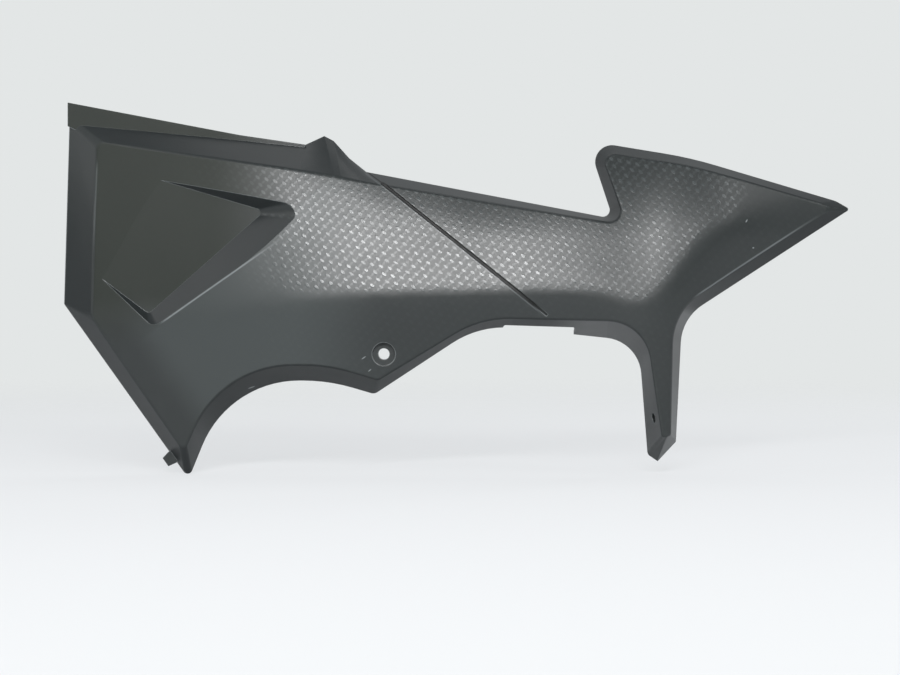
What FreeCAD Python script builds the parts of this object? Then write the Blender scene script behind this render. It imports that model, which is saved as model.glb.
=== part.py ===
import FreeCAD, Part
import math
import os
from FreeCAD import Vector

# Motorbike side panel: one thin-walled moulding with a crowned face, sloping side walls and a hollow back.
# Millimetres. The face looks to -Y, +Z is up and +X runs to the pointed end. The origin is the centre of the
# screw seat. Heights are measured out from the rim plane, which is flat and lies at the back.

# Wall of the moulding, how far its hollow is drawn past the rim plane, and height of the screw seat over it
WALL = 2.5
HOLLOW_PAST_RIM = 1.0
SEAT_HEIGHT = 34.0

# Broad end and its tail
BROAD_X = -237.0
BROAD_TOP_Z = 172.0
BROAD_LOW_Z = 36.0
TAIL_X = -145.0
TAIL_Z = -93.0

# Peak in the top edge, and the fold where the groove starts
PEAK_X = -45.0
PEAK_Z = 160.0
FOLD_X = -14.0
FOLD_Z = 133.5

# Notch and hook in the top edge
NOTCH_X = 168.0
NOTCH_Z = 99.0
HOOK_X = 149.0
HOOK_Z = 156.5
HOOK_RADIUS = 12.5

# Pointed end
WING_X = 225.0
WING_Z = 144.0
TIP_X = 343.0
TIP_Z = 106.0

# Leg
LEG_LEFT_X = 187.0
LEG_RIGHT_X = 219.0
LEG_ROOT_Z = 8.5
LEG_FOOT_X = 201.0
LEG_FOOT_Z = -80.0
LEG_FOOT_SOLID = 14.0

# Lower edge: bay beside the leg, point below the screw, wide arch
BAY_X = 70.5
BAY_Z = 21.0
BAY_RADIUS = 70.0
POINT_X = -8.0
POINT_Z = -30.5
ARCH_RIGHT_X = -42.0
ARCH_LEFT_X = -115.5
ARCH_Z = -20.5
ARCH_RADIUS = 77.0

# Corners of the outline, clockwise from the top of the broad end: name, rim x, rim z, rim radius, step from
# the rim corner to the face corner in x and z, face radius. A radius of 0 is a sharp corner in both.
OUTLINE = [
    ("broad top", BROAD_X + 4.0, BROAD_TOP_Z, 4.0, 22.0, -17.0, 6.0),
    ("peak start", PEAK_X - 14.0, PEAK_Z - 6.5, 0.0, -2.0, -20.5, 0.0),
    ("peak", PEAK_X, PEAK_Z, 0.0, 9.0, -31.3, 0.0),
    ("peak end", PEAK_X + 7.0, PEAK_Z - 3.7, 0.0, 7.0, -28.7, 0.0),
    ("peak foot", PEAK_X + 18.5, PEAK_Z - 16.5, 0.0, 9.0, -18.1, 0.0),
    ("fold", FOLD_X, FOLD_Z, 0.0, 11.5, -10.4, 0.0),
    ("notch", NOTCH_X, NOTCH_Z, 5.0, 7.5, -6.0, 9.0),
    ("hook", HOOK_X, HOOK_Z, HOOK_RADIUS, 8.5, -9.0, 7.5),
    ("wing", WING_X, WING_Z, 300.0, -4.0, -7.0, 280.0),
    ("tip top", TIP_X - 10.5, TIP_Z + 6.0, 15.0, -13.0, -2.0, 12.0),
    ("tip", TIP_X, TIP_Z, 1.5, -15.5, 0.0, 3.0),
    ("leg right", LEG_RIGHT_X, LEG_ROOT_Z + 17.0, 35.0, -10.4, 5.0, 42.0),
    ("foot right", LEG_FOOT_X + 13.5, LEG_FOOT_Z + 14.5, 1.5, -7.0, 6.5, 2.6),
    ("foot", LEG_FOOT_X, LEG_FOOT_Z, 0.0, 3.6, 20.4, 0.0),
    ("foot left", LEG_FOOT_X - 7.5, LEG_FOOT_Z + 5.0, 4.4, 7.6, 15.0, 2.6),
    ("leg left", LEG_LEFT_X, LEG_ROOT_Z, 28.5, 0.7, 15.0, 32.0),
    ("bay", BAY_X, BAY_Z, BAY_RADIUS, -0.5, 5.0, 75.0),
    ("point", POINT_X, POINT_Z, 6.0, 4.0, 11.5, 5.0),
    ("arch right", ARCH_RIGHT_X, ARCH_Z, 130.0, 1.5, 12.5, 120.0),
    ("arch left", ARCH_LEFT_X, ARCH_Z, ARCH_RADIUS, -2.0, 12.0, 80.0),
    ("tail", TAIL_X, TAIL_Z, 3.6, -1.0, 21.5, 3.5),
    ("broad low", BROAD_X, BROAD_LOW_Z, 2.0, 23.5, -10.0, 12.0),
]

# Crown of the face as upright sections: x, z of the crest, height of the crest, then the slope in degrees
# just above the crest, near the top and below the crest. Past the leg the crest turns up into the wing.
SECTIONS = [
    (BROAD_X - 33.0, 20.0, 14.0, 2.0, 2.0, 3.0),
    (-170.0, 18.0, 24.0, 4.0, 5.0, 5.0),
    (-118.0, 24.0, 33.0, 5.0, 8.0, 7.0),
    (-60.0, 34.0, 42.0, 8.0, 14.0, 9.0),
    (12.0, 40.0, 47.5, 12.0, 22.0, 17.0),
    (98.0, 42.0, 48.0, 14.0, 24.0, 20.0),
    (160.0, 39.5, 46.5, 14.0, 18.0, 14.0),
    (192.0, 36.0, 44.0, 13.0, 15.0, 9.0),
    (212.0, 56.0, 41.0, 12.0, 13.0, 10.0),
    (232.0, 76.0, 36.0, 11.0, 12.0, 15.0),
    (265.0, 101.0, 26.5, 9.0, 11.0, 16.0),
    (TIP_X + 27.0, 114.0, 6.0, 6.0, 8.0, 6.0),
]
CREST_SOFTNESS = 4.0

# Far below the crest the face runs flat again. Distance to this bend, and softness of the two gentle bends
FLAT_BELOW = 75.0
BEND_SOFTNESS = 30.0

# Control grid of the crown, finer where the crest turns: start of each stretch and the steps to the next one
CROWN_STEPS_X = [(BROAD_X - 33.0, 6), (160.0, 7), (268.0, 2), (TIP_X + 27.0, 0)]
CROWN_STEPS_Z = [(TAIL_Z - 33.0, 3), (20.0, 4), (50.0, 4), (104.0, 2), (BROAD_TOP_Z + 57.0, 0)]

# Rounding of the face border: its reach on to the face and down the wall, the share of it that is left to a
# narrow joining strip, and the distance between its fitted points
BORDER_SOFTNESS = 1.6
BORDER_LIP = 0.2
BORDER_SPACING = 12.0
BORDER_LEAST_STEPS = 4

# Sunk field at the broad end: height of its flat floor, its right and low floor corners, the z at which its
# upper and lower sides run out at the broad end, and how far these sides lean out per millimetre of rise
RECESS_FLOOR = 17.3
RECESS_RIGHT = (-87.5, 104.0)
RECESS_LOW = (-172.0, 29.0)
RECESS_OUT_TOP_Z = 147.5
RECESS_OUT_LOW_Z = 76.0
RECESS_TOP_LEAN = 0.85
RECESS_RIGHT_LEAN = 1.4
RECESS_LOW_LEAN = 0.75
RECESS_FROM_END = 2.0

# Corners of the sunk field: radius at the floor, and its gain per millimetre of rise
RECESS_FLOOR_RADIUS = 3.0
RECESS_RADIUS_GAIN = 0.36

# Moulded groove across the face
GROOVE_START = (-1.8, 124.2)
GROOVE_END = (117.5, 28.0)
GROOVE_WIDTH = 2.0
GROOVE_DEPTH = 1.6

# Screw hole with its sunk seat and the boss behind it
HOLE_DIAMETER = 8.2
SEAT_WIDTH = 4.4
BOSS_WALL = 3.4
BOSS_LENGTH = 9.0

# Stiffening ribs on the back, each from one plan point to another
RIB_THICKNESS = 1.6
RIB_HEIGHT = 8.0
RIBS = [
    ((-150.0, 44.0), (200.0, 44.0)),
    ((40.0, 35.0), (40.0, 125.0)),
    ((140.0, 20.0), (140.0, 110.0)),
    ((0.0, -30.0), (0.0, 44.0)),
]

# Grommet pegs on the back
PEGS = [(-122.0, 15.0), (240.0, 108.0)]
PEG_DIAMETER = 8.0
PEG_LENGTH = 14.0
PEG_CHAMFER = 1.0
PEG_COLLAR_WIDTH = 2.5
PEG_SHORT_OF_RIM = 3.0

# Flat flange along the top of the broad end
FLANGE_TOP_Z = 184.5
FLANGE_BEND = (-107.0, 160.5)

# Tab beside the tail
TAB_FROM_TAIL = 20.0
TAB_ROOT = 10.0
TAB_END = 7.5
TAB_REACH = 6.5

# Hole in the left wall of the leg: up from the foot, and out from the rim plane
LEG_HOLE_DIAMETER = 7.5
LEG_HOLE_FROM_FOOT = 19.0
LEG_HOLE_OUT = 21.0

# Relief in the lower rim beside the leg
RELIEF_LEFT = (87.0, 20.6)
RELIEF_RIGHT = (139.0, 19.1)
RELIEF_RADIUS = 1.5

# Limits of the outlines: share of a side that corner arcs may take up, least radius of a rounded corner, and
# sine of the turn under which two sides count as one line
ARC_ROOM = 0.96
LEAST_RADIUS = 0.6
STRAIGHT_TURN = 0.05

# Places that follow from the sizes above
RIM_Y = SEAT_HEIGHT
FRONT_Y = RIM_Y - 2 * max(row[2] for row in SECTIONS)
THROUGH = 2 * (RIM_Y - FRONT_Y)
NAMES = [row[0] for row in OUTLINE]
RIM = [(row[1], row[2], row[3]) for row in OUTLINE]
BORDER = [(row[1] + row[4], row[2] + row[5], row[6]) for row in OUTLINE]
PEG_END_Y = RIM_Y - PEG_SHORT_OF_RIM


def unit(a, b):
    length = math.hypot(b[0] - a[0], b[1] - a[1])
    return (b[0] - a[0]) / length, (b[1] - a[1]) / length


def inset_corners(corners, distances):
    """Corners (x, z, radius) of an outline whose sides have moved inwards, each by its own distance."""
    moved = []
    count = len(corners)
    for i in range(count):
        x, z, radius = corners[i]
        before = unit(corners[i - 1], corners[i])
        after = unit(corners[i], corners[(i + 1) % count])
        d1 = distances[i - 1]
        d2 = distances[i]
        n1 = (before[1], -before[0])
        n2 = (after[1], -after[0])
        turn = n1[0] * n2[1] - n1[1] * n2[0]
        if abs(turn) < STRAIGHT_TURN:
            step = ((n1[0] * d1 + n2[0] * d2) / 2, (n1[1] * d1 + n2[1] * d2) / 2)
        else:
            step = ((d1 * n2[1] - d2 * n1[1]) / turn, (d2 * n1[0] - d1 * n2[0]) / turn)
        if radius > 0:
            change = (d1 + d2) / 2 if turn > 0 else -(d1 + d2) / 2
            radius = max(radius + change, LEAST_RADIUS)
        moved.append((x + step[0], z + step[1], radius))
    return moved


def plan_edges(corners, y):
    """Closed chain of lines and corner arcs in the plane at y. An arc is limited by the sides it joins."""
    count = len(corners)
    turns = []
    for i in range(count):
        before = unit(corners[i - 1], corners[i])
        after = unit(corners[i], corners[(i + 1) % count])
        cosine = before[0] * after[0] + before[1] * after[1]
        turns.append(math.acos(max(-1.0, min(1.0, cosine))))
    wanted = [corner[2] * math.tan(turn / 2) for corner, turn in zip(corners, turns)]
    joints = []
    for i in range(count):
        here = corners[i]
        start = end = here[:2]
        middle = None
        if here[2] > 0:
            reach = wanted[i]
            for other in (i - 1, (i + 1) % count):
                room = ARC_ROOM * math.dist(here[:2], corners[other][:2])
                reach = min(reach, room * wanted[i] / (wanted[i] + wanted[other]))
            before = unit(corners[i - 1], here)
            after = unit(here, corners[(i + 1) % count])
            start = (here[0] - before[0] * reach, here[1] - before[1] * reach)
            end = (here[0] + after[0] * reach, here[1] + after[1] * reach)
            radius = reach / math.tan(turns[i] / 2)
            side = unit(here, ((start[0] + end[0]) / 2, (start[1] + end[1]) / 2))
            sink = radius / math.cos(turns[i] / 2) - radius
            middle = (here[0] + side[0] * sink, here[1] + side[1] * sink)
        joints.append((start, middle, end))
    edges = []
    for i in range(count):
        start, middle, end = joints[i]
        leave = joints[i - 1][2]
        edges.append(Part.makeLine(Vector(leave[0], y, leave[1]), Vector(start[0], y, start[1])))
        if middle:
            points = [Vector(p[0], y, p[1]) for p in (start, middle, end)]
            edges.append(Part.Arc(*points).toShape())
    return edges


def through(points, places):
    """Smooth curve through points, each at its own place along the curve."""
    curve = Part.BSplineCurve()
    curve.interpolate(Points=points, Parameters=places)
    return curve


def crown_height(rails, x, z):
    """Height of the crown over the rim plane, before the control grid smooths it."""
    crest_z, crest, above, top, below = [rail.value(x).y for rail in rails]
    rise, roll, fall = [math.tan(math.radians(slope)) for slope in (above, top, below)]
    up = z - crest_z
    past_middle = up - (CROWN_STEPS_Z[-1][0] - crest_z) / 2
    past_low = -up - FLAT_BELOW
    height = crest - (rise - fall) / 2 * up - (rise + fall) / 2 * math.hypot(up, CREST_SOFTNESS)
    height -= (roll - rise) / 2 * (past_middle + math.hypot(past_middle, BEND_SOFTNESS))
    return height + fall / 2 * (past_low + math.hypot(past_low, BEND_SOFTNESS))


def crown_knots(stretches):
    """Even steps within each stretch."""
    knots = []
    for (start, steps), (end, next_steps) in zip(stretches, stretches[1:]):
        knots += [start + (end - start) * i / steps for i in range(steps)]
    return knots + [stretches[-1][0]]


def pole_places(knots):
    """Places of the poles at which a cubic surface runs evenly with its knots."""
    full = knots[:1] * 3 + knots + knots[-1:] * 3
    return [sum(full[i + 1:i + 4]) / 3 for i in range(len(knots) + 2)]


def crown_surface():
    """Smooth face of the moulding with a soft crest. Its two directions are x and z themselves."""
    places = [row[0] for row in SECTIONS]
    rails = [through([Vector(row[0], row[k], 0) for row in SECTIONS], places) for k in range(1, 6)]
    x_knots = crown_knots(CROWN_STEPS_X)
    z_knots = crown_knots(CROWN_STEPS_Z)
    poles = []
    for x in pole_places(x_knots):
        poles.append([Vector(x, RIM_Y - crown_height(rails, x, z), z) for z in pole_places(z_knots)])
    x_mults = [4] + [1] * (len(x_knots) - 2) + [4]
    z_mults = [4] + [1] * (len(z_knots) - 2) + [4]
    surface = Part.BSplineSurface()
    surface.buildFromPolesMultsKnots(poles, x_mults, z_mults, x_knots, z_knots, False, False, 3, 3)
    return surface


CROWN = crown_surface()


def crown_y(x, z):
    """Depth of the crown at one point of the plan."""
    return CROWN.value(x, z).y


def spans_over(plan, face):
    """Edges of a trimmed face, each with the plan edge below it and the share of that edge it covers."""
    spans = []
    level = plan[0].Vertexes[0].Y
    for edge in face.Edges:
        middle = edge.valueAt((edge.FirstParameter + edge.LastParameter) / 2)
        below = Part.Vertex(middle.x, level, middle.z)
        index = min(range(len(plan)), key=lambda i: plan[i].distToShape(below)[0])
        flat = plan[index]
        length = flat.LastParameter - flat.FirstParameter
        ends = []
        for corner in edge.Vertexes:
            at = flat.Curve.parameter(Vector(corner.X, level, corner.Z))
            ends.append(min(1.0, max(0.0, (at - flat.FirstParameter) / length)))
        spans.append((index, min(ends), max(ends), edge))
    return spans


def closed_solid(faces):
    solid = Part.Solid(Part.Shell(faces))
    if solid.Volume < 0:
        solid.reverse()
    return solid


def part_way(edge, share):
    return edge.valueAt(edge.FirstParameter + share * (edge.LastParameter - edge.FirstParameter))


def rounded_border(rows):
    """Curves and surface of a rounding that touches the face and the wall beside each corner point.

    The rounding starts a little way in from the face edge, so that a narrow strip can join it to that edge.
    """
    lip = BORDER_LIP
    lines = []
    for on_face, corner, on_wall in rows:
        start = on_face * (1 - lip) ** 2 + corner * (2 * lip * (1 - lip)) + on_wall * lip ** 2
        lines.append((start, corner * (1 - lip) + on_wall * lip, on_wall))
    places = [i / (len(lines) - 1) for i in range(len(lines))]
    curves = [through([line[k] for line in lines], places) for k in range(3)]
    poles = [list(row) for row in zip(*[curve.getPoles() for curve in curves])]
    mults = curves[0].getMultiplicities()
    knots = curves[0].getKnots()
    surface = Part.BSplineSurface()
    surface.buildFromPolesMultsKnots(poles, mults, [3, 3], knots, [0, 1], False, False, 3, 2)
    return curves[0], curves[2], surface


def skin(rim, border, drop, rim_y, softness):
    """Solid from the rim plane to the crown set back by drop, with a sloping wall under each side.

    The border between face and wall is rounded by a softness, or sharp if that is 0.
    """
    plan = plan_edges(inset_corners(border, [softness] * len(border)), FRONT_Y)
    sharp = plan_edges(border, FRONT_Y)
    lower = plan_edges(rim, rim_y)
    column = Part.Face(Part.Wire(plan)).extrude(Vector(0, THROUGH, 0))
    face = CROWN.toShape().translated(Vector(0, drop, 0)).common(column).Faces[0]
    faces = [face]
    feet = []
    for index, start, end, edge in spans_over(plan, face):
        wall_top = edge
        if softness > 0:
            count = max(BORDER_LEAST_STEPS, int(edge.Length / BORDER_SPACING) + 1)
            rows = []
            for i in range(count + 1):
                share = start + (end - start) * i / count
                on_face = part_way(plan[index], share)
                on_face.y = crown_y(on_face.x, on_face.z) + drop
                corner = part_way(sharp[index], share)
                corner.y = crown_y(corner.x, corner.z) + drop
                down = part_way(lower[index], share) - corner
                rows.append((on_face, corner, corner + down.normalize() * softness))
            upper_curve, lower_curve, rounding = rounded_border(rows)
            faces.append(Part.makeRuledSurface(edge, upper_curve.toShape()))
            faces.append(rounding.toShape())
            wall_top = lower_curve.toShape()
        flat = lower[index]
        length = flat.LastParameter - flat.FirstParameter
        foot = flat.Curve.toShape(flat.FirstParameter + start * length, flat.FirstParameter + end * length)
        faces.append(Part.makeRuledSurface(foot, wall_top))
        feet.append(foot)
    faces.append(Part.Face(Part.Wire(Part.__sortEdges__(feet))))
    return closed_solid(faces)


def straight(points, y_from, y_to):
    """Column over a plan polygon, between two depths."""
    wire = Part.makePolygon([Vector(x, y_from, z) for x, z in points + points[:1]])
    return Part.Face(wire).extrude(Vector(0, y_to - y_from, 0))


def strip(start, end, width):
    """Plan polygon of a straight strip between two points."""
    along = unit(start, end)
    side = (along[1] * width / 2, -along[0] * width / 2)
    points = [(start[0] - side[0], start[1] - side[1]), (end[0] - side[0], end[1] - side[1])]
    return points + [(end[0] + side[0], end[1] + side[1]), (start[0] + side[0], start[1] + side[1])]


def tapered(low_corners, low_y, high_corners, high_y):
    """Solid between two rounded outlines at two depths, with sloping sides."""
    low = plan_edges(low_corners, low_y)
    high = plan_edges(high_corners, high_y)
    faces = [Part.makeRuledSurface(a, b) for a, b in zip(low, high)]
    return closed_solid(faces + [Part.Face(Part.Wire(low)), Part.Face(Part.Wire(high))])


def in_front_of_crown(depth):
    """Space in front of the crown after it is lowered by a depth."""
    lowered = CROWN.toShape().translated(Vector(0, depth, 0))
    return lowered.extrude(Vector(0, FRONT_Y - RIM_Y, 0))


def round_bar(x, z, diameter, y_from, y_to):
    return Part.makeCylinder(diameter / 2, y_to - y_from, Vector(x, y_from, z), Vector(0, 1, 0))


def recess(offset):
    """Space of the sunk field, moved back into the material by an offset."""
    open_x = BROAD_X + RECESS_FROM_END
    corners = [(open_x, RECESS_OUT_TOP_Z), RECESS_RIGHT, RECESS_LOW, (open_x, RECESS_OUT_LOW_Z)]
    leans = [RECESS_TOP_LEAN, RECESS_RIGHT_LEAN, RECESS_LOW_LEAN, 0.0]
    floor_y = RIM_Y - RECESS_FLOOR + offset
    rise = floor_y - FRONT_Y
    grown = [offset * (math.hypot(1, lean) - lean) for lean in leans]
    outlines = []
    for height in (0.0, rise):
        sides = [-(g + lean * height) for g, lean in zip(grown, leans)]
        moved = inset_corners([(x, z, 0.0) for x, z in corners], sides)
        radius = RECESS_FLOOR_RADIUS + RECESS_RADIUS_GAIN * height
        radii = [0.0, radius, radius, 0.0]
        outlines.append([(x, z, r) for (x, z, zero), r in zip(moved, radii)])
    return tapered(outlines[0], floor_y, outlines[1], FRONT_Y)


def groove(offset):
    """Space of the moulded groove, moved back into the material by an offset."""
    line = straight(strip(GROOVE_START, GROOVE_END, GROOVE_WIDTH + 2 * offset), FRONT_Y, RIM_Y)
    return line.common(in_front_of_crown(GROOVE_DEPTH + offset))


def seat(offset):
    """Space of the sunk screw seat, moved back into the material by an offset."""
    return round_bar(0, 0, HOLE_DIAMETER + 2 * SEAT_WIDTH + 2 * offset, FRONT_Y, offset)


# Outside of the moulding
outside = skin(RIM, BORDER, 0.0, RIM_Y, BORDER_SOFTNESS)
outside = outside.cut([recess(0.0), groove(0.0), seat(0.0)])

# Hollow behind the wall, less everything that stands on the back of the wall. The leg is solid at its foot.
border_sides = [WALL] * len(OUTLINE)
for name in ("foot right", "foot"):
    border_sides[NAMES.index(name)] = LEG_FOOT_SOLID
inner_rim = inset_corners(RIM, [WALL] * len(OUTLINE))
hollow = skin(inner_rim, inset_corners(BORDER, border_sides), WALL, RIM_Y + HOLLOW_PAST_RIM, 0.0)
standing = [recess(WALL), groove(WALL), seat(WALL)]
standing.append(round_bar(0, 0, HOLE_DIAMETER + 2 * BOSS_WALL, FRONT_Y, BOSS_LENGTH))
near_wall = in_front_of_crown(WALL + RIB_HEIGHT)
for start, end in RIBS:
    standing.append(straight(strip(start, end, RIB_THICKNESS), FRONT_Y, RIM_Y).common(near_wall))
for x, z in PEGS:
    shoulder_y = PEG_END_Y - PEG_CHAMFER
    standing.append(round_bar(x, z, PEG_DIAMETER + 2 * PEG_COLLAR_WIDTH, FRONT_Y, PEG_END_Y - PEG_LENGTH))
    standing.append(round_bar(x, z, PEG_DIAMETER, FRONT_Y, shoulder_y))
    standing.append(Part.makeCone(PEG_DIAMETER / 2, PEG_DIAMETER / 2 - PEG_CHAMFER, PEG_CHAMFER,
                                  Vector(x, shoulder_y, z), Vector(0, 1, 0)))
for piece in standing:
    hollow = hollow.cut(piece)
panel = outside.cut(hollow)

# Flat flange along the top of the broad end. It reaches in under the sloping wall.
broad_top = RIM[NAMES.index("broad top")]
peak_start = RIM[NAMES.index("peak start")]
flange = [(broad_top[0] - 1.0, FLANGE_TOP_Z), FLANGE_BEND, peak_start[:2]]
flange += [(peak_start[0] - 2.0, peak_start[1] - 4 * WALL)]
flange += [(broad_top[0] + 4 * WALL, broad_top[1] - 4 * WALL)]
flange += [(broad_top[0] - 1.0, broad_top[1] - 2 * WALL)]
flange = straight(flange, RIM_Y - WALL, RIM_Y)

# Tab on the sloping edge beside the tail
tail = RIM[NAMES.index("tail")]
edge_way = unit(tail, RIM[NAMES.index("broad low")])
edge_out = (-edge_way[1], edge_way[0])
tab = []
for along, out in [(-TAB_ROOT, -2 * TAB_REACH), (-TAB_ROOT, 0.0), (-TAB_END, 2 * TAB_REACH),
                   (TAB_END, 2 * TAB_REACH), (TAB_ROOT, 0.0), (TAB_ROOT, -2 * TAB_REACH)]:
    along = TAB_FROM_TAIL + along / 2
    out = out / 2
    x = tail[0] + edge_way[0] * along + edge_out[0] * out
    z = tail[1] + edge_way[1] * along + edge_out[1] * out
    tab.append((x, z))
tab = straight(tab, RIM_Y - WALL, RIM_Y)
panel = panel.fuse([flange.cut(hollow), tab.cut(hollow)])

# Hole square through the left wall of the leg
low = NAMES.index("foot left")
high = NAMES.index("leg left")
rim_line = [Vector(RIM[i][0], RIM_Y, RIM[i][1]) for i in (low, high)]
face_line = [Vector(BORDER[i][0], crown_y(BORDER[i][0], BORDER[i][1]), BORDER[i][1]) for i in (low, high)]
along = LEG_HOLE_FROM_FOOT / (rim_line[1] - rim_line[0]).Length
on_rim = rim_line[0] + (rim_line[1] - rim_line[0]) * along
on_face = face_line[0] + (face_line[1] - face_line[0]) * along
up = LEG_HOLE_OUT / (RIM_Y - on_face.y)
leg_hole_centre = on_rim + (on_face - on_rim) * up
wall_way = (rim_line[1] - rim_line[0]) * (1 - up) + (face_line[1] - face_line[0]) * up
leg_hole_axis = (on_face - on_rim).cross(wall_way).normalize()
leg_hole_start = leg_hole_centre - leg_hole_axis * 3 * WALL
leg_hole = Part.makeCylinder(LEG_HOLE_DIAMETER / 2, 5 * WALL, leg_hole_start, leg_hole_axis)

# Screw hole, and the relief in the lower rim
screw_hole = round_bar(0, 0, HOLE_DIAMETER, FRONT_Y, RIM_Y)
relief_low_z = min(RIM[NAMES.index("bay")][1], RIM[NAMES.index("leg left")][1]) - 2 * WALL
relief = [RELIEF_LEFT + (RELIEF_RADIUS,), RELIEF_RIGHT + (RELIEF_RADIUS,)]
relief += [(RELIEF_RIGHT[0], relief_low_z, 0.0), (RELIEF_LEFT[0], relief_low_z, 0.0)]
relief = Part.Face(Part.Wire(plan_edges(relief, FRONT_Y))).extrude(Vector(0, THROUGH, 0))
panel = panel.cut([screw_hole, leg_hole, relief]).Solids[0]

os.makedirs("parts", exist_ok=True)
panel.exportStep("parts/side_panel.step")
print("side panel", panel.isValid(), "volume", round(panel.Volume), "faces", len(panel.Faces))
print("leg hole at", leg_hole_centre, "axis", leg_hole_axis, "peg end", PEG_END_Y)
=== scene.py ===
# %% [markdown]
# # A motorbike side panel in satin charcoal plastic
# The panel is one injection moulding: a crowned face, a sunk field, a slanted groove, walls that run back
# to a flat rim, and a screw seat. Its solid comes from the imported frame, so no mesh of it is modelled here.
# This lesson gives the panel its plastic, its moulded weave, its marks of use and some painted light and
# shade, and sets up a pale studio and the camera of the photograph.

# %% Load the frame
import math

import bmesh
import bpy
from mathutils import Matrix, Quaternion, Vector


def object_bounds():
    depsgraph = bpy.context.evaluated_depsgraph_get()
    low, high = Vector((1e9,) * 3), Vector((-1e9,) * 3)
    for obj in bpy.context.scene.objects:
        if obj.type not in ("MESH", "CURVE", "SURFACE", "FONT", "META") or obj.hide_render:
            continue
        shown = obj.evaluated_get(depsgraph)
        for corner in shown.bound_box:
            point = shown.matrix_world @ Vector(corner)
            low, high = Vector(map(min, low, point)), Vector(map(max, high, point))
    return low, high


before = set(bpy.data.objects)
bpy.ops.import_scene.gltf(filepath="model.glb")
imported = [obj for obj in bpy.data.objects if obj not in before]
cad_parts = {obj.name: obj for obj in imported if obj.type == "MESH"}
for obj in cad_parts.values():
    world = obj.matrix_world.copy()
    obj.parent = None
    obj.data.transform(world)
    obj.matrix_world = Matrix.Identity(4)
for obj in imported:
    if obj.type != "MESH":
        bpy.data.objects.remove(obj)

cad_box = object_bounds()
panel_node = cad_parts["side_panel"]
print("CAD box", [round(v, 4) for corner in cad_box for v in corner])

# %% [markdown]
# ## The camera
# The photograph was taken square on to the rim, from about a metre and a half, so walls that slope away
# show as narrow bands. A tilted camera could aim at the panel's middle, but upright lines would then lean.
# So the camera looks straight ahead, and its shift puts the optical axis above the middle of the image. The
# lens follows from the scale at the rim.

# %% Camera
MM = 0.001
IMAGE_WIDTH = 900
IMAGE_HEIGHT = 675
AXIS_PIXEL = (450.0, 300.0)
MM_PER_PIXEL = 0.738
CAMERA_TO_RIM = 1500 * MM
CAMERA_X = 47.75 * MM
CAMERA_Z = 39.0 * MM
SENSOR = 36.0
NEAR_LIMIT = 50 * MM
rim_y = cad_box[1].y

lens_data = bpy.data.cameras.new("photo_lens")
lens_data.sensor_width = SENSOR
lens_data.lens = SENSOR * CAMERA_TO_RIM / (IMAGE_WIDTH * MM_PER_PIXEL * MM)
lens_data.shift_x = (IMAGE_WIDTH / 2 - AXIS_PIXEL[0]) / IMAGE_WIDTH
lens_data.shift_y = (AXIS_PIXEL[1] - IMAGE_HEIGHT / 2) / IMAGE_WIDTH
lens_data.clip_start = NEAR_LIMIT
camera = bpy.data.objects.new("photo_camera", lens_data)
camera.location = (CAMERA_X, rim_y - CAMERA_TO_RIM, CAMERA_Z)
camera.rotation_euler = (math.radians(90), 0, 0)
bpy.context.scene.collection.objects.link(camera)
bpy.context.scene.camera = camera
print("lens", round(lens_data.lens, 2), "mm, shift", round(lens_data.shift_y, 4))

# %% [markdown]
# ## Helpers for materials
# A material is a net of nodes, small steps that each work out a number or a colour for a point of the
# surface. It could be drawn by hand in the editor, but a script can be read and changed. Colours are written
# as the hex values that a screen shows, and one function turns them to the linear values that light needs.
# One more function adds a node, sets it and links it. The settings that come up often have short names.

# %% Helpers
SMOOTH = {"interpolation_type": "SMOOTHSTEP"}
TIMES = {"operation": "MULTIPLY"}
PLUS = {"operation": "ADD"}
LESS = {"operation": "SUBTRACT"}
OVER = {"operation": "DIVIDE"}
LARGER = {"operation": "MAXIMUM"}
SMALLER = {"operation": "MINIMUM"}
UNSIGNED = {"operation": "ABSOLUTE"}
DOT = {"operation": "DOT_PRODUCT"}
LENGTH = {"operation": "LENGTH"}


def linear(hex_colour):
    """Linear RGBA of an sRGB hex colour."""
    values = []
    for i in (1, 3, 5):
        c = int(hex_colour[i:i + 2], 16) / 255
        values.append(c / 12.92 if c <= 0.04045 else ((c + 0.055) / 1.055) ** 2.4)
    return (*values, 1.0)


def add(tree, kind, settings=None, **links):
    """Adds a node. A link's key is an input's name or _number, its value a node, a socket or a constant."""
    node = tree.nodes.new("ShaderNode" + kind)
    for key, value in (settings or {}).items():
        setattr(node, key, value)
    for key, value in links.items():
        socket = node.inputs[int(key[1:]) if key[1:].isdigit() else key.replace("_", " ")]
        if isinstance(value, bpy.types.Node):
            value = value.outputs[0]
        if isinstance(value, bpy.types.NodeSocket):
            tree.links.new(value, socket)
        else:
            socket.default_value = value
    return node


def new_material(name):
    """An empty material and its node tree."""
    material = bpy.data.materials.new(name)
    material.use_nodes = True
    material.node_tree.nodes.clear()
    return material, material.node_tree


print("charcoal in linear light", [round(v, 4) for v in linear("#232727")])

# %% [markdown]
# ## The floor
# The panel stands over pale paper. A sheet with an edge would show a horizon behind the panel. So the floor
# is a wide disc, and its paper fades out long before the edge.

# %% Floor shape
FLOOR_RADIUS = 4.0
FLOOR_SIDES = 96
floor_z = cad_box[0].z

shape = bmesh.new()
bmesh.ops.create_circle(shape, cap_ends=True, segments=FLOOR_SIDES, radius=FLOOR_RADIUS)
bmesh.ops.translate(shape, verts=shape.verts, vec=(0, 0, floor_z))
floor_mesh = bpy.data.meshes.new("studio_floor")
shape.to_mesh(floor_mesh)
shape.free()
floor = bpy.data.objects.new("studio_floor", floor_mesh)
bpy.context.scene.collection.objects.link(floor)
print("floor at", round(floor_z / MM, 1), "mm")

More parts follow.
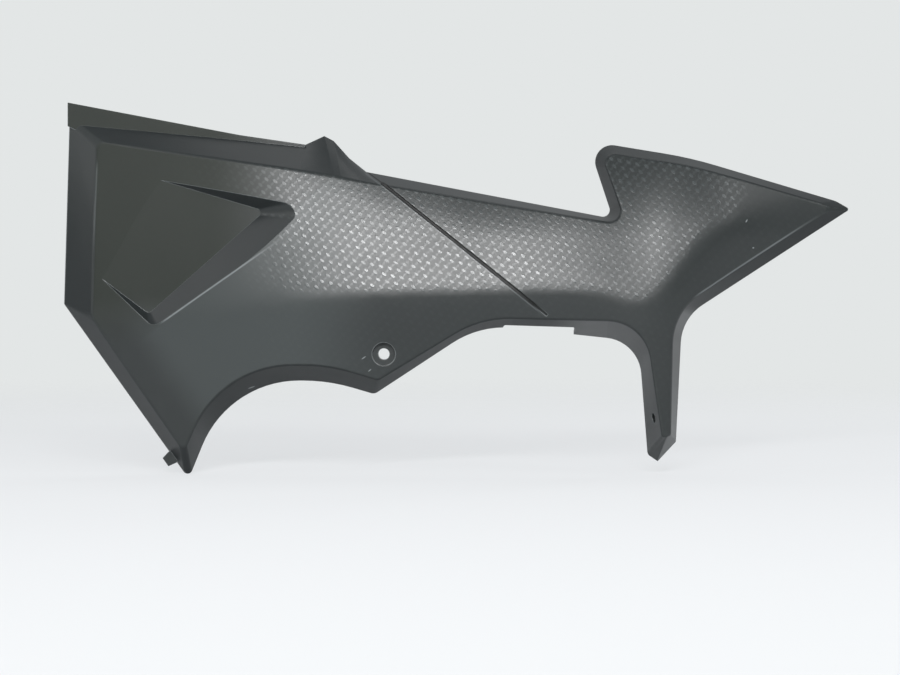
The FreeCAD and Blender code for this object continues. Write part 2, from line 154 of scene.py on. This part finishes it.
# %% [markdown]
# ## The paper
# Matt paper scatters light evenly, so a diffuse shader is enough, and it keeps the soft shadow under the
# panel. More lamps could even out the floor, but they would light the panel too. So part of the paper's
# paleness is a glow that only the camera's rays see, and it puts no light on the panel.

# %% Paper
FLOOR_COLOUR = "#EDEFF1"
FLOOR_GLOW = 0.7
FADE_FROM = 0.35
FADE_TO = 2.0

paper, tree = new_material("matt_paper_floor")
place = add(tree, "TexCoord")
reach = add(tree, "VectorMath", LENGTH, _0=place.outputs["Object"])
fade = add(tree, "MapRange", SMOOTH, Value=reach.outputs["Value"], From_Min=FADE_FROM, From_Max=FADE_TO)
ray = add(tree, "LightPath")
share = add(tree, "Math", TIMES, _0=ray.outputs["Is Camera Ray"], _1=FLOOR_GLOW)
matt = add(tree, "BsdfDiffuse", Color=linear(FLOOR_COLOUR))
glow = add(tree, "Emission", Color=linear(FLOOR_COLOUR), Strength=1.0)
lit = add(tree, "MixShader", _0=share, _1=matt, _2=glow)
clear = add(tree, "BsdfTransparent")
mix = add(tree, "MixShader", _0=fade, _1=lit, _2=clear)
add(tree, "OutputMaterial", Surface=mix)
floor_mesh.materials.append(paper)
print("paper fades from", FADE_FROM, "to", FADE_TO, "m")

# %% [markdown]
# ## The surround
# Around the paper is a plain pale room, and the camera sees it as one even tone. The panel gets a weaker
# light from it, a little stronger from behind, which shows in the steep walls. A backdrop could do the same,
# but it would stand in the way of a look from behind.

# %% Surround
SURROUND_COLOUR = "#E3E6E6"
ROOM_COLOUR = "#E8ECEE"
ROOM_LIGHT = 0.4
BACK_LIGHT = 0.46
BACK_FROM = -0.5
BACK_FULL = 0.6

world = bpy.data.worlds.new("studio_surround")
bpy.context.scene.world = world
world.use_nodes = True
tree = world.node_tree
tree.nodes.clear()
ray = add(tree, "LightPath")
seen = add(tree, "Background", Color=linear(SURROUND_COLOUR), Strength=1.0)
toward = add(tree, "SeparateXYZ", Vector=add(tree, "TexCoord").outputs["Generated"])
depth = add(tree, "MapRange", SMOOTH, Value=toward.outputs["Y"], From_Min=BACK_FROM, From_Max=BACK_FULL,
            To_Min=ROOM_LIGHT, To_Max=BACK_LIGHT)
light = add(tree, "Background", Color=linear(ROOM_COLOUR), Strength=depth)
mix = add(tree, "MixShader", _0=ray.outputs["Is Camera Ray"], _1=light, _2=seen)
add(tree, "OutputWorld", Surface=mix)
print("room light", ROOM_LIGHT, "in front and", BACK_LIGHT, "behind")

# %% [markdown]
# ## The lamps
# The bright band on the face is the mirror image of a lamp. Above its crest the face leans up by nine to
# fourteen degrees, and a lamp at twice that angle mirrors there. A broad lamp would wash out the whole face,
# so the key is a thin softbox, and its roll makes the band climb with the face. A second thin softbox lights
# the wing. Weak ones at the top, the sides and the back show the walls and the ribs behind.

# %% Softboxes


def softbox(name, place, target, size, power, roll=0.0):
    """A rectangular lamp that looks at a target, in metres and watts, turned about its own axis."""
    lamp = bpy.data.lights.new(name, "AREA")
    lamp.shape = "RECTANGLE"
    lamp.size, lamp.size_y = size
    lamp.energy = power
    box = bpy.data.objects.new(name, lamp)
    box.location = place
    aim = (Vector(target) - Vector(place)).to_track_quat("-Z", "Y")
    box.rotation_euler = (aim @ Quaternion((0, 0, 1), math.radians(roll))).to_euler()
    bpy.context.scene.collection.objects.link(box)


softbox("key_softbox", (-0.1, -1.85, 0.90), (0.0, 0, 0.05), (1.05, 0.22), 28, roll=25)
softbox("wing_softbox", (0.85, -1.75, 0.85), (0.2, 0, 0.08), (0.9, 0.3), 9)
softbox("top_softbox", (0.0, 0.45, 1.5), (0.0, 0, 0.0), (1.6, 0.6), 2.5)
softbox("upper_left_softbox", (-1.5, -0.3, 1.25), (-0.1, 0, 0.05), (0.4, 0.8), 2.5)
softbox("left_softbox", (-1.6, -0.8, 0.55), (-0.1, 0, 0.05), (0.25, 0.8), 2)
softbox("right_softbox", (1.3, -0.8, 0.9), (0.05, 0, 0.05), (0.25, 0.8), 3)
softbox("back_softbox", (1.6, 1.2, 0.35), (0.05, 0, 0.05), (0.5, 0.5), 8)
bpy.context.scene.view_settings.view_transform = "Standard"
print("lamps", len(bpy.data.lights))

# %% [markdown]
# ## The plastic asks its surface
# The panel is polypropylene, coloured through and moulded in an etched tool. To the eye that is a deep,
# even charcoal with a soft sheen and no clear reflections. Its finish changes from place to place. That
# could be painted on a map, but the solid has none. So the plastic asks each point of its surface where
# it lies, in millimetres, and which way it looks: out of the panel, forwards or to a side.

# %% Place and direction
FRONT_FROM = -0.80
FRONT_FULL = -0.90
OUTSIDE_FULL = -0.3

plastic, tree = new_material("moulded_polypropylene")
place = add(tree, "TexCoord")
here = add(tree, "VectorMath", {"operation": "SCALE"}, Vector=place.outputs["Object"], Scale=1 / MM)
at = add(tree, "SeparateXYZ", Vector=here)
facing = add(tree, "SeparateXYZ", Vector=place.outputs["Normal"])
front = add(tree, "MapRange", SMOOTH, Value=facing.outputs["Y"], From_Min=FRONT_FROM, From_Max=FRONT_FULL)
wall = add(tree, "Math", LESS, _0=1.0, _1=front)
outer = add(tree, "MapRange", Value=facing.outputs["Y"], From_Min=0.0, From_Max=OUTSIDE_FULL)
print("a face looks forwards within", round(math.degrees(math.acos(-FRONT_FROM))), "degrees")

# %% [markdown]
# ## Where the weave lies
# The weave is etched on the parts of the face that lean up a little. Below the crest and in the sunk
# field only a trace of it is left, it thins out towards the broad end, and the flange above the face has
# none. The mesh could be cut along these limits, but they are soft, and the slope of the face finds the
# crest by itself.

# %% Weave zone
LEAN_FROM = 0.09
LEAN_FULL = 0.145
TRACE = 0.1
BROAD_END_FROM = -112.0
BROAD_END_FULL = -66.0
BROAD_END_TRACE = 0.12
FLANGE_FROM = 149.0
FLANGE_CLEAR = 143.0

upward = add(tree, "MapRange", SMOOTH, Value=facing.outputs["Z"], From_Min=LEAN_FROM, From_Max=LEAN_FULL,
             To_Min=TRACE, To_Max=1.0)
thinned = add(tree, "MapRange", SMOOTH, Value=at.outputs["X"], From_Min=BROAD_END_FROM,
              From_Max=BROAD_END_FULL, To_Min=BROAD_END_TRACE, To_Max=1.0)
under = add(tree, "MapRange", Value=at.outputs["Z"], From_Min=FLANGE_FROM, From_Max=FLANGE_CLEAR)
face = add(tree, "Math", TIMES, _0=front, _1=under)
woven = add(tree, "Math", TIMES, _0=upward, _1=thinned)
woven = add(tree, "Math", TIMES, _0=woven, _1=face)
print("weave on faces that lean up by more than", round(math.degrees(math.asin(LEAN_FROM)), 1), "degrees")

# %% [markdown]
# ## The lattice of the weave
# Seen close, the weave is a slanted lattice of short raised dashes, the crowns of its threads. A tiled
# picture could show it, but a formula stays sharp at every distance. Each point of the face is turned into
# steps along the two directions of the lattice, which were measured in millimetres.

# %% Lattice
WEAVE_STEP_ONE = (6.4, -1.4)
WEAVE_STEP_TWO = (4.2, 4.1)
DASH_SLOPE = math.radians(-42)

area = WEAVE_STEP_ONE[0] * WEAVE_STEP_TWO[1] - WEAVE_STEP_ONE[1] * WEAVE_STEP_TWO[0]
along_one = (WEAVE_STEP_TWO[1] / area, 0, -WEAVE_STEP_TWO[0] / area)
along_two = (-WEAVE_STEP_ONE[1] / area, 0, WEAVE_STEP_ONE[0] / area)
steps_one = add(tree, "VectorMath", DOT, _0=here, _1=along_one).outputs["Value"]
steps_two = add(tree, "VectorMath", DOT, _0=here, _1=along_two).outputs["Value"]
steps = add(tree, "CombineXYZ", X=steps_one, Y=steps_two, Z=0.0)
warp_way = (math.cos(DASH_SLOPE), math.sin(DASH_SLOPE))
weft_way = (-warp_way[1], warp_way[0])
print("weave cell", round(area, 1), "mm2")

# %% [markdown]
# ## One dash in each cell
# The crown of a thread is a rounded dash. Thousands of small meshes would be heavy, so the dashes are
# worked out from the lattice. The whole steps name the cell, and what is left over says how far a point
# lies from the middle of its cell. Measured along and across the dash, and divided by its half length and
# half width, that distance is 1 on the dash's edge. Each cell also gets a chance value, so that no two
# dashes look alike.

# %% Dashes
DASH_EDGE = 1.1
DASH_CROWN = 0.6
CELL_MIDDLE = (0.5, 0.5, 0.0)


def dashes(offset, way, side, half_length, half_width):
    """Dash in the middle of each cell: 1 on its crown, 0 between the dashes, and a chance value per dash."""
    moved = add(tree, "VectorMath", PLUS, _0=steps, _1=(*offset, 0.0))
    cell = add(tree, "VectorMath", {"operation": "FLOOR"}, _0=moved)
    rest = add(tree, "VectorMath", LESS, _0=moved, _1=cell)
    rest = add(tree, "VectorMath", LESS, _0=rest, _1=CELL_MIDDLE)
    shares = []
    for direction, half in ((way, half_length), (side, half_width)):
        weights = [(step[0] * direction[0] + step[1] * direction[1]) / half
                   for step in (WEAVE_STEP_ONE, WEAVE_STEP_TWO)]
        shares.append(add(tree, "VectorMath", DOT, _0=rest, _1=(*weights, 0.0)).outputs["Value"])
    spot = add(tree, "CombineXYZ", X=shares[0], Y=shares[1], Z=0.0)
    away = add(tree, "VectorMath", LENGTH, _0=spot)
    crown = add(tree, "MapRange", SMOOTH, Value=away.outputs["Value"],
                From_Min=DASH_EDGE, From_Max=DASH_CROWN)
    chance = add(tree, "TexWhiteNoise", {"noise_dimensions": "3D"}, Vector=cell)
    return crown, chance.outputs["Value"]


print("dash edge blurred over", round(DASH_EDGE - DASH_CROWN, 1), "of its half width")

# %% [markdown]
# ## The threads
# The threads that run one way stand high and are worn to different degrees. Those that cross them between
# two crowns lie lower, so they are shorter, thinner and weaker. One chequered pattern could stand for
# both, but two sets of dashes let each kind have its own size and wear.

# %% Threads
WARP_HALF_LENGTH = 2.3
WARP_HALF_WIDTH = 1.25
WARP_OFFSET = (0.0, 0.0)
WEFT_OFFSET = (0.0, 0.5)
WEFT_SIZE = 0.8
WEFT_LEVEL = 0.36
MOST_WORN = 0.55

warp, chance = dashes(WARP_OFFSET, warp_way, weft_way, WARP_HALF_LENGTH, WARP_HALF_WIDTH)
weft, _ = dashes(WEFT_OFFSET, weft_way, warp_way,
                 WEFT_SIZE * WARP_HALF_LENGTH, WEFT_SIZE * WARP_HALF_WIDTH)
worn = add(tree, "MapRange", Value=chance, To_Min=MOST_WORN, To_Max=1.0)
warp = add(tree, "Math", TIMES, _0=warp, _1=worn)
weft = add(tree, "Math", TIMES, _0=weft, _1=WEFT_LEVEL)
threads = add(tree, "Math", LARGER, _0=warp, _1=weft)
weave = add(tree, "Math", TIMES, _0=threads, _1=woven)
print("dash", 2 * WARP_HALF_LENGTH, "by", 2 * WARP_HALF_WIDTH, "mm")

# %% [markdown]
# ## Grain and clouds
# The plain parts have the fine satin grain of an etched tool. The real grain is about a fifth of a
# millimetre, too fine to show from here, so it is drawn coarser. Broad clouds make the tone a little
# uneven, as it is on a panel that has been handled and wiped. A scanned surface would repeat, and noise
# doesn't.

# %% Grain
GRAIN_SIZE = 0.9
GRAIN_DETAIL = 2.0
CLOUD_SIZE = 60.0
CLOUD_DETAIL = 3.0

grain = add(tree, "TexNoise", {"noise_dimensions": "3D"}, Vector=here,
            Scale=1 / GRAIN_SIZE, Detail=GRAIN_DETAIL)
clouds = add(tree, "TexNoise", {"noise_dimensions": "3D"}, Vector=here,
             Scale=1 / CLOUD_SIZE, Detail=CLOUD_DETAIL)
print("grain", GRAIN_SIZE, "mm, clouds", CLOUD_SIZE, "mm")

# %% [markdown]
# ## Lines on the face
# Scuffs, the groove and the painted lines of light all follow straight lines on the face. Each could be a
# thin mesh, but a mark has no thickness. So one helper measures how far a point lies along a line and to the
# right of it.

# %% Lines


def measured(start, end):
    """Way along a line on the face and to the right of it, in mm, and the line's length."""
    way = Vector(end) - Vector(start)
    length = way.length
    way.normalize()
    offset = add(tree, "VectorMath", LESS, _0=here, _1=(start[0], 0.0, start[1]))
    along = add(tree, "VectorMath", DOT, _0=offset, _1=(way.x, 0.0, way.y))
    right = add(tree, "VectorMath", DOT, _0=offset, _1=(way.y, 0.0, -way.x))
    return along.outputs["Value"], right.outputs["Value"], length


print("lines are measured in x and z, as the camera sees the face")

# %% [markdown]
# ## Scuffs
# A few short scuffs and specks lie where the photograph shows them. Random scratches would be easier, but
# these few are known, so each has its place. A scuff is a thin spot, measured along and across its own
# direction.

# %% Scuffs
SCUFF_EDGE = 1.1
SCUFF_FULL = 0.5
# Each scuff: x and z of its middle, direction in degrees, half length and half width
SCUFFS = [
    (-14.4, -2.6, 35, 2.2, 0.45),
    (-10.1, -11.7, 40, 1.6, 0.4),
    (-98.0, -25.2, 20, 3.0, 0.5),
    (263.0, 96.4, 60, 1.6, 0.5),
    (268.6, 77.0, 10, 0.9, 0.6),
]

scuffed = None
for x, z, slant, half_length, half_width in SCUFFS:
    way = (math.cos(math.radians(slant)), math.sin(math.radians(slant)))
    along, right, _ = measured((x, z), (x + way[0], z + way[1]))
    spot = add(tree, "CombineXYZ", X=along, Y=right, Z=0.0)
    spot = add(tree, "VectorMath", OVER, _0=spot, _1=(half_length, half_width, 1.0))
    away = add(tree, "VectorMath", LENGTH, _0=spot)
    mark = add(tree, "MapRange", SMOOTH, Value=away.outputs["Value"],
               From_Min=SCUFF_EDGE, From_Max=SCUFF_FULL)
    scuffed = add(tree, "Math", LARGER, _0=scuffed, _1=mark) if scuffed else mark
scuffed = add(tree, "Math", TIMES, _0=scuffed, _1=outer)
print("scuffs", len(SCUFFS))

# %% [markdown]
# ## The painted shade in the groove
# The slanted groove lies in shade, and a fine scored line carries on from its upper end over the top wall.
# The solid has the groove itself, and its shade is painted as a dark stripe: narrow along the score, wide
# along the groove, and run out before the groove's lower end.

# %% Groove shade
GROOVE_START = (-1.8, 124.2)
GROOVE_END = (117.5, 28.0)
GROOVE_HALF_WIDTH = 1.3
GROOVE_RUN_OUT = 12.0
SCORE_HALF_WIDTH = 0.5
SCORE_LENGTH = 15.0
SCORE_SOFT_START = 1.0
WIDENING = 1.0
SHADE_EDGE = 1.15
SHADE_FULL = 0.85

along, right, length = measured(GROOVE_START, GROOVE_END)
width = add(tree, "MapRange", Value=along, From_Min=-WIDENING, From_Max=WIDENING,
            To_Min=SCORE_HALF_WIDTH, To_Max=GROOVE_HALF_WIDTH)
begun = add(tree, "MapRange", Value=along, From_Min=-SCORE_LENGTH,
            From_Max=SCORE_SOFT_START - SCORE_LENGTH)
ended = add(tree, "MapRange", Value=along, From_Min=length, From_Max=length - GROOVE_RUN_OUT)
stretch = add(tree, "Math", TIMES, _0=begun, _1=ended)
stretch = add(tree, "Math", TIMES, _0=stretch, _1=outer)
aside = add(tree, "Math", UNSIGNED, _0=right)
aside = add(tree, "Math", OVER, _0=aside, _1=width)
shade_profile = add(tree, "MapRange", SMOOTH, Value=aside, From_Min=SHADE_EDGE, From_Max=SHADE_FULL)
# painted shade: the dark stripe in the groove and along the score
groove_shade = add(tree, "Math", TIMES, _0=shade_profile, _1=stretch)
print("groove", round(length, 1), "mm long")

# %% [markdown]
# ## The groove's lip
# Beside the painted shade, the lower lip of the groove gets a painted highlight, where its round edge
# catches the light. The mask for edges further on finds both lips alike, so this lip gets a line of its own.
# It runs along the same stretch, at a fixed distance to one side of the groove's middle.

# %% Groove lip
LIP_OFFSET = 1.9
LIP_EDGE = 0.7
LIP_FULL = 0.1
LIP_STRENGTH = 0.5

lip = add(tree, "Math", LESS, _0=right, _1=LIP_OFFSET)
lip = add(tree, "Math", UNSIGNED, _0=lip)
lip = add(tree, "MapRange", SMOOTH, Value=lip, From_Min=LIP_EDGE, From_Max=LIP_FULL,
          To_Min=0.0, To_Max=LIP_STRENGTH)
# painted highlight along the groove's lower lip
painted_highlights = add(tree, "Math", TIMES, _0=lip, _1=stretch)
print("lip", LIP_OFFSET, "mm from the groove's middle")

# %% [markdown]
# ## The roll of the face
# Towards its top edge the face rolls back by some degrees more than its solid does. That is too slight to
# see in the outline, but it shows in the light, and the mesh stays as it is. So the roll is a very broad
# bump: past a line on the face, the height falls off with the square of the distance. The line climbs to
# the left.

# %% Roll to the top edge
ROLL_FROM = 82.0
ROLL_LEFT = 60.0
ROLL_SPAN = 200.0
ROLL_SLOPE = 0.35
ROLL_PER_MM = math.radians(0.2)

roll_line = add(tree, "MapRange", Value=at.outputs["X"], From_Min=ROLL_LEFT, From_Max=ROLL_LEFT - ROLL_SPAN,
                To_Min=ROLL_FROM, To_Max=ROLL_FROM + ROLL_SPAN * ROLL_SLOPE)
past = add(tree, "Math", LESS, _0=at.outputs["Z"], _1=roll_line)
past = add(tree, "Math", LARGER, _0=past, _1=0.0)
square = add(tree, "Math", TIMES, _0=past, _1=past)
top_roll = add(tree, "Math", TIMES, _0=square, _1=-ROLL_PER_MM / 2)
print("roll", round(math.degrees(ROLL_PER_MM), 2), "degrees per mm above the line")

# %% [markdown]
# ## The roll of the wing
# The wing turns away to its point in the same slight way. A bend of the mesh would move its outline, so
# this is a part of the same bump. Here the roll grows over a short length, and past that the tilt stays,
# so the height goes on falling in a straight line.

# %% Roll of the wing
WING_ROLL_FROM = 182.0
WING_ROLL_LENGTH = 30.0
WING_ROLL_PER_MM = math.radians(0.25)

past = add(tree, "Math", LESS, _0=at.outputs["X"], _1=WING_ROLL_FROM)
past = add(tree, "Math", LARGER, _0=past, _1=0.0)
bent = add(tree, "Math", SMALLER, _0=past, _1=WING_ROLL_LENGTH)
half = add(tree, "Math", TIMES, _0=bent, _1=0.5)
drop = add(tree, "Math", LESS, _0=past, _1=half)
drop = add(tree, "Math", TIMES, _0=drop, _1=bent)
wing_roll = add(tree, "Math", TIMES, _0=drop, _1=-WING_ROLL_PER_MM)
roll = add(tree, "Math", PLUS, _0=top_roll, _1=wing_roll)
print("wing turned by", round(math.degrees(WING_ROLL_PER_MM * WING_ROLL_LENGTH), 1), "degrees")

# %% [markdown]
# ## The olive field
# The sunk field and the flat face around it look a little olive and dull. The patch could be painted on a
# map, but simple questions bound it as well: does the point lie above the line of the field's lower edge,
# high enough and far enough to the left, and on a part of the face that is flat?

# %% Olive field
FIELD_EDGE_LOW = (-169.0, 17.0)
FIELD_EDGE_HIGH = (-66.0, 105.0)
FIELD_EDGE_FROM = -3.0
FIELD_EDGE_FULL = 1.0
FLAT_FROM = -0.94
FLAT_FULL = -0.985
OLIVE_RIGHT = -60.0
OLIVE_FULL = -130.0
OLIVE_LOW = 0.0
OLIVE_HIGH = 45.0

_, above, _ = measured(FIELD_EDGE_HIGH, FIELD_EDGE_LOW)
above = add(tree, "MapRange", SMOOTH, Value=above, From_Min=FIELD_EDGE_FROM, From_Max=FIELD_EDGE_FULL)
high = add(tree, "MapRange", SMOOTH, Value=at.outputs["Z"], From_Min=OLIVE_LOW, From_Max=OLIVE_HIGH)
above = add(tree, "Math", TIMES, _0=above, _1=high)
flat = add(tree, "MapRange", SMOOTH, Value=facing.outputs["Y"], From_Min=FLAT_FROM, From_Max=FLAT_FULL)
olive = add(tree, "MapRange", SMOOTH, Value=at.outputs["X"], From_Min=OLIVE_RIGHT, From_Max=OLIVE_FULL)
field = add(tree, "Math", TIMES, _0=olive, _1=above)
field = add(tree, "Math", TIMES, _0=field, _1=flat)
print("olive left of", OLIVE_RIGHT, "mm")

# %% [markdown]
# ## Painted light below the field
# Below the field's lower edge the face is painted a lighter grey, a painted light where the real face
# catches more light. It fades to the right and stops before the border beside the tail. From here it is one
# soft veil. It begins where the olive field ends, so it takes what the mask of the field's edge leaves.

# %% Painted light
PAINTED_LIGHT_RIGHT = 10.0
PAINTED_LIGHT_FULL = -70.0
TAIL_BORDER_LOW = (-143.0, -83.0)
TAIL_BORDER_HIGH = (-229.0, 37.0)
TAIL_UNLIT = 15.0
TAIL_LIT = 45.0

_, inset, _ = measured(TAIL_BORDER_LOW, TAIL_BORDER_HIGH)
inside = add(tree, "MapRange", SMOOTH, Value=inset, From_Min=TAIL_UNLIT, From_Max=TAIL_LIT)
# painted light: a lighter grey below the field, fading to the right and kept off the tail's border
painted_light = add(tree, "MapRange", SMOOTH, Value=at.outputs["X"], From_Min=PAINTED_LIGHT_RIGHT, From_Max=PAINTED_LIGHT_FULL)
below = add(tree, "Math", LESS, _0=1.0, _1=above)
for mask in (below, flat, inside):
    painted_light = add(tree, "Math", TIMES, _0=painted_light, _1=mask)
print("dust left of", PAINTED_LIGHT_RIGHT, "mm")

# %% [markdown]
# ## The undersides
# Walls that look down, as in the arch, are dull with road film. The leg and the corner beside it keep
# their sheen, so the film is taken away there. These faces could have a material of their own, but the
# film has no hard limit, and a mask can be soft.

# %% Undersides
UNDERSIDE_FROM = -0.3
UNDERSIDE_FULL = -0.7
LEG_LEFT = 110.0
LEG_FULL = 150.0
LEG_TOP = 36.0
LEG_CLEAN = 24.0

film = add(tree, "MapRange", SMOOTH, Value=facing.outputs["Z"],
           From_Min=UNDERSIDE_FROM, From_Max=UNDERSIDE_FULL)
film = add(tree, "Math", TIMES, _0=film, _1=wall)
leg_side = add(tree, "MapRange", SMOOTH, Value=at.outputs["X"], From_Min=LEG_LEFT, From_Max=LEG_FULL)
leg_low = add(tree, "MapRange", SMOOTH, Value=at.outputs["Z"], From_Min=LEG_TOP, From_Max=LEG_CLEAN)
wiped = add(tree, "Math", TIMES, _0=leg_side, _1=leg_low)
film = add(tree, "Math", LESS, _0=film, _1=wiped)
film = add(tree, "Math", LARGER, _0=film, _1=0.0)
least_turn = math.degrees(math.asin(-UNDERSIDE_FROM))
print("film on walls that look down by more than", round(least_turn), "degrees")

# %% [markdown]
# ## Rounded edges and their painted highlights
# Every edge of a moulding is slightly round and catches a thin line of light. Real fillets on all of them
# would make a heavy mesh. The Bevel node gives a rounded normal instead, and where that differs from the true
# normal, the point lies on an edge and gets a painted highlight. Edges that look at the sky stay dark, as the
# photograph shows them.

# %% Edges
EDGE_ROUNDING = 0.9
EDGE_SAMPLES = 8
EDGE_FROM = 0.98
EDGE_FULL = 0.92
EDGE_STRENGTH = 0.8
SKY_FROM = 0.3
SKY_CLEAR = 0.15

rounded = add(tree, "Bevel", {"samples": EDGE_SAMPLES}, Radius=EDGE_ROUNDING * MM)
agree = add(tree, "VectorMath", DOT, _0=rounded, _1=place.outputs["Normal"])
# painted highlight: a lighter colour where the Bevel node finds an edge, except on edges that look up
edge = add(tree, "MapRange", Value=agree.outputs["Value"], From_Min=EDGE_FROM, From_Max=EDGE_FULL,
           To_Min=0.0, To_Max=EDGE_STRENGTH)
turn = add(tree, "SeparateXYZ", Vector=rounded)
aslant = add(tree, "Math", UNSIGNED, _0=turn.outputs["X"])
skyward = add(tree, "Math", LESS, _0=turn.outputs["Z"], _1=aslant)
away_from_sky = add(tree, "MapRange", Value=skyward, From_Min=SKY_FROM, From_Max=SKY_CLEAR)
edge = add(tree, "Math", TIMES, _0=edge, _1=away_from_sky)
edge = add(tree, "Math", TIMES, _0=edge, _1=outer)
print("edges rounded by", EDGE_ROUNDING, "mm")

# %% [markdown]
# ## Lines of light
# Three edges of the real panel show a longer and clearer line of light: the lower edge of the sunk field,
# the lower border of the wing and the left border. There the Bevel node finds too little of an edge, because
# the solid is round or its faces meet at a small angle. So each is drawn as a thin line that starts softly
# and fades over its last part.

# %% Lines of light
LINE_EDGE = 1.0
LINE_FULL = 0.2
LINE_START = 12.0
LINE_FADE_FROM = 0.6
# Each line: its start and its end in x and z, and its strength
LIGHT_LINES = [
    ((-165.0, 20.2), (-70.0, 86.1), 0.8),
    ((222.0, 39.6), (324.0, 105.0), 0.5),
    ((-210.6, 144.0), (-213.0, 69.0), 0.22),
]

for start, end, strength in LIGHT_LINES:
    along, right, length = measured(start, end)
    aside = add(tree, "Math", UNSIGNED, _0=right)
    line = add(tree, "MapRange", SMOOTH, Value=aside, From_Min=LINE_EDGE, From_Max=LINE_FULL,
               To_Min=0.0, To_Max=strength)
    begun = add(tree, "MapRange", SMOOTH, Value=along, From_Min=0.0, From_Max=LINE_START)
    ended = add(tree, "MapRange", SMOOTH, Value=along, From_Min=length, From_Max=LINE_FADE_FROM * length)
    for mask in (begun, ended, outer):
        line = add(tree, "Math", TIMES, _0=line, _1=mask)
    edge = add(tree, "Math", LARGER, _0=edge, _1=line)
    print("line of light", round(length, 1), "mm")

# %% [markdown]
# ## The colour
# The ground is charcoal, a little uneven. Over it lie, in this order: painted shade on the walls, the olive
# field, painted light below the field, painted glints on the crowns of the weave and on the groove's lip,
# painted highlights on the edges, painted shade in the groove and last the scuffs. Each could be a shader
# of its own, but colours are quicker to mix, so each colour is laid over the last by its own mask.

# %% Colour
CHARCOAL_DARK = "#232727"
CHARCOAL_PALE = "#2A2E2E"
CROWN_GLINT = 0.4

# painted glints: the crowns of the weave are made lighter in colour, standing in for the light they catch
crown_glints = add(tree, "Math", TIMES, _0=weave, _1=CROWN_GLINT)
painted_highlights = add(tree, "Math", LARGER, _0=painted_highlights, _1=crown_glints)
layers_of_colour = [
    # painted shade: faces that turn away from the front, the walls, are made a shade darker
    (wall, "#212526"),
    (field, "#1A201A"),
    # painted light: the lighter grey below the olive field
    (painted_light, "#373C3C"),
    # painted highlights on the groove's lower lip and painted glints on the crowns of the weave
    (painted_highlights, "#5E6364"),
    # painted highlights on the rounded edges and along the lines of light
    (edge, "#7C8182"),
    # painted shade in the groove and along the score
    (groove_shade, "#0C0E0E"),
    (scuffed, "#7A7F80"),
]
colour = add(tree, "Mix", {"data_type": "RGBA"}, _0=clouds,
             _6=linear(CHARCOAL_DARK), _7=linear(CHARCOAL_PALE))
for mask, tone in layers_of_colour:
    colour = add(tree, "Mix", {"data_type": "RGBA"}, _0=mask, _6=colour.outputs[2], _7=linear(tone))
print("finishes over the charcoal", len(layers_of_colour))

# %% [markdown]
# ## The gloss
# Etched polypropylene is satin, with a roughness of about a third, and its index of refraction is about
# 1.5, which is the shader's default. One roughness for the whole panel would look flat. So the crowns of
# the weave are smoother and shine in the bright band. The groove, the olive field and the filmed undersides
# are duller: they scatter more, and the field and the film also mirror less.

# %% Gloss
SATIN_LEAST = 0.33
SATIN_MOST = 0.37
CLOUD_LOW = 0.3
CLOUD_HIGH = 0.7
CROWN_SHINE = -0.13
DULLNESS = 0.22
PLAIN_MIRROR = 0.5
FIELD_MIRROR = 0.4
FILM_MIRROR = 0.38

satin = add(tree, "MapRange", Value=clouds, From_Min=CLOUD_LOW, From_Max=CLOUD_HIGH,
            To_Min=SATIN_LEAST, To_Max=SATIN_MOST)
shine = add(tree, "Math", TIMES, _0=weave, _1=CROWN_SHINE)
dull = add(tree, "Math", LARGER, _0=groove_shade, _1=field)
dull = add(tree, "Math", LARGER, _0=dull, _1=film)
dull = add(tree, "Math", TIMES, _0=dull, _1=DULLNESS)
roughness = add(tree, "Math", PLUS, _0=satin, _1=shine)
roughness = add(tree, "Math", PLUS, _0=roughness, _1=dull)
mirror = add(tree, "MapRange", Value=field, To_Min=PLAIN_MIRROR, To_Max=FIELD_MIRROR)
mirror = add(tree, "MapRange", Value=film, To_Min=mirror, To_Max=FILM_MIRROR)
print("roughness from", round(SATIN_LEAST + CROWN_SHINE, 2), "to", round(SATIN_MOST + DULLNESS, 2))

# %% [markdown]
# ## The relief
# The weave and the grain stand out of the real face. Displacement would need a much finer mesh than the
# solid's. So the normals alone are bent, in two steps: the broad roll on the face only, and over it the
# weave and the grain, which stand up by about a tenth of a millimetre.

# %% Relief and skin
GRAIN_SHARE = 0.18
RELIEF_HEIGHT = 0.12
RELIEF_STRENGTH = 0.4

rolled = add(tree, "Bump", Height=roll, Normal=rounded, Strength=1.0, Distance=MM)
face_normal = add(tree, "Mix", {"data_type": "VECTOR"}, _0=face, _4=rounded, _5=rolled).outputs[1]
fine = add(tree, "Math", TIMES, _0=grain, _1=GRAIN_SHARE)
relief = add(tree, "Math", PLUS, _0=weave, _1=fine)
bump = add(tree, "Bump", Height=relief, Normal=face_normal,
           Strength=RELIEF_STRENGTH, Distance=RELIEF_HEIGHT * MM)
skin = add(tree, "BsdfPrincipled", Base_Color=colour.outputs[2], Roughness=roughness, Normal=bump,
           Specular_IOR_Level=mirror)
add(tree, "OutputMaterial", Surface=skin)
panel_node.data.materials.clear()
panel_node.data.materials.append(plastic)
print("plastic nodes", len(tree.nodes))
